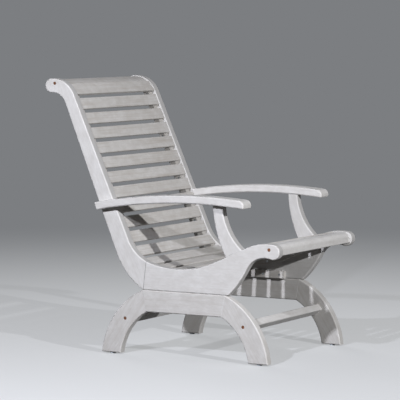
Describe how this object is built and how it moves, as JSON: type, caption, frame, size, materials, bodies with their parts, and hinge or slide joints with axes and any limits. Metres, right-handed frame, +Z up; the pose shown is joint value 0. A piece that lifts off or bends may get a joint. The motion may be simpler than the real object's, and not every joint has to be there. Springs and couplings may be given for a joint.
{
  "type": "wooden patio armchair",
  "caption": "Slatted wooden patio armchair with scrolled side frames, a deep reclined seat and back in one curve, bowed arms and arched legs.",
  "frame": {"origin": "on the floor, under the middle of the chair's overall length and width", "axes": "+Z up, the chair faces -Y, +X to the sitter's left"},
  "size_m": [0.671, 0.9454, 0.9731],
  "materials": {
    "white_washed_wood": "brushed hardwood under a thin matt white wash",
    "beech_dowel": "bare",
    "bronzed_steel": "bronzed, dulled by weather",
    "zinc_plated_steel": "zinc plated",
    "glide_plastic": "moulded"
  },
  "bodies": {
    "root": {"arm_post_left": "white_washed_wood", "arm_post_right": "white_washed_wood", "arm_screws": "zinc_plated_steel", "armrest_left": "white_washed_wood", "armrest_right": "white_washed_wood", "back_batten_left": "white_washed_wood", "back_batten_right": "white_washed_wood", "back_slat_01": "white_washed_wood", "back_slat_02": "white_washed_wood", "back_slat_03": "white_washed_wood", "back_slat_04": "white_washed_wood", "back_slat_05": "white_washed_wood", "back_slat_06": "white_washed_wood", "back_slat_07": "white_washed_wood", "back_slat_08": "white_washed_wood", "back_slat_09": "white_washed_wood", "back_slat_10": "white_washed_wood", "back_slat_11": "white_washed_wood", "back_stile_left": "white_washed_wood", "back_stile_right": "white_washed_wood", "barrel_nuts": "zinc_plated_steel", "batten_screws": "zinc_plated_steel", "cleat_screws": "zinc_plated_steel", "foot_glides": "glide_plastic", "frame_bolts": "bronzed_steel", "frame_dowels": "beech_dowel", "front_leg_left": "white_washed_wood", "front_leg_right": "white_washed_wood", "front_rail": "white_washed_wood", "front_stretcher": "white_washed_wood", "head_rail": "white_washed_wood", "head_slat": "white_washed_wood", "leg_rail_left": "white_washed_wood", "leg_rail_right": "white_washed_wood", "rear_leg_left": "white_washed_wood", "rear_leg_right": "white_washed_wood", "rear_stretcher": "white_washed_wood", "seat_batten_left": "white_washed_wood", "seat_batten_right": "white_washed_wood", "seat_cleat_left": "white_washed_wood", "seat_cleat_right": "white_washed_wood", "seat_side_left": "white_washed_wood", "seat_side_right": "white_washed_wood", "seat_slat_01": "white_washed_wood", "seat_slat_02": "white_washed_wood", "seat_slat_03": "white_washed_wood", "seat_slat_04": "white_washed_wood", "seat_slat_05": "white_washed_wood", "seat_slat_06": "white_washed_wood", "seat_slat_07": "white_washed_wood", "seat_slat_08": "white_washed_wood", "seat_slat_09": "white_washed_wood", "slat_screws": "zinc_plated_steel"}
  },
  "joints": []
}
